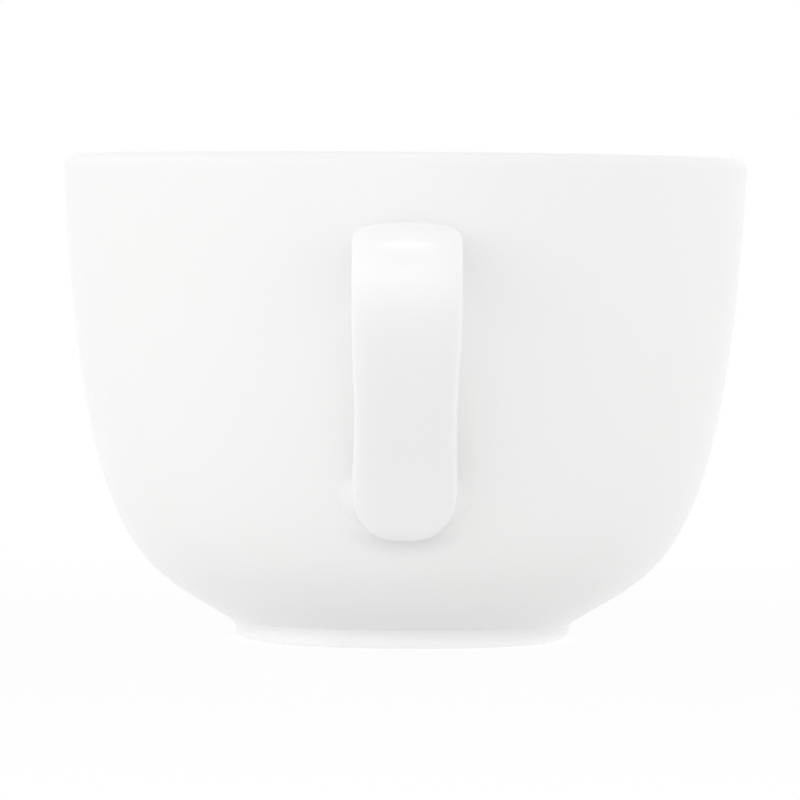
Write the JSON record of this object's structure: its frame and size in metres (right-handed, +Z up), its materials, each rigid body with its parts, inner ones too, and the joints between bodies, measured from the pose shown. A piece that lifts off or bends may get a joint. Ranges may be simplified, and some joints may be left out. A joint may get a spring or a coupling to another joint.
{
  "type": "cafe au lait cup",
  "caption": "Wide glazed porcelain cup for milky coffee: deep rounded bowl on a low foot ring, with a flat strap handle that ends in a rounded tongue.",
  "frame": {"origin": "on the plane the cup stands on, under the middle of bowl and handle together; the bowl's axis stands 14.5 mm from it towards +Y", "axes": "+Z up along the bowl's axis, -Y towards the handle, +X to the right when the handle faces the viewer"},
  "size_m": [0.106, 0.1349, 0.075],
  "materials": {
    "bowl_glaze": "clear gloss glaze on white porcelain",
    "foot_glaze": "clear gloss glaze on white porcelain, bare on the standing edge",
    "handle_glaze": "clear gloss glaze on white porcelain",
    "slip_glaze": "clear gloss glaze, slightly pooled, over fired slip"
  },
  "bodies": {
    "root": {"bowl": "bowl_glaze", "foot_ring": "foot_glaze", "handle": "handle_glaze", "upper_slip_joint": "slip_glaze", "lower_slip_joint": "slip_glaze"}
  },
  "joints": []
}
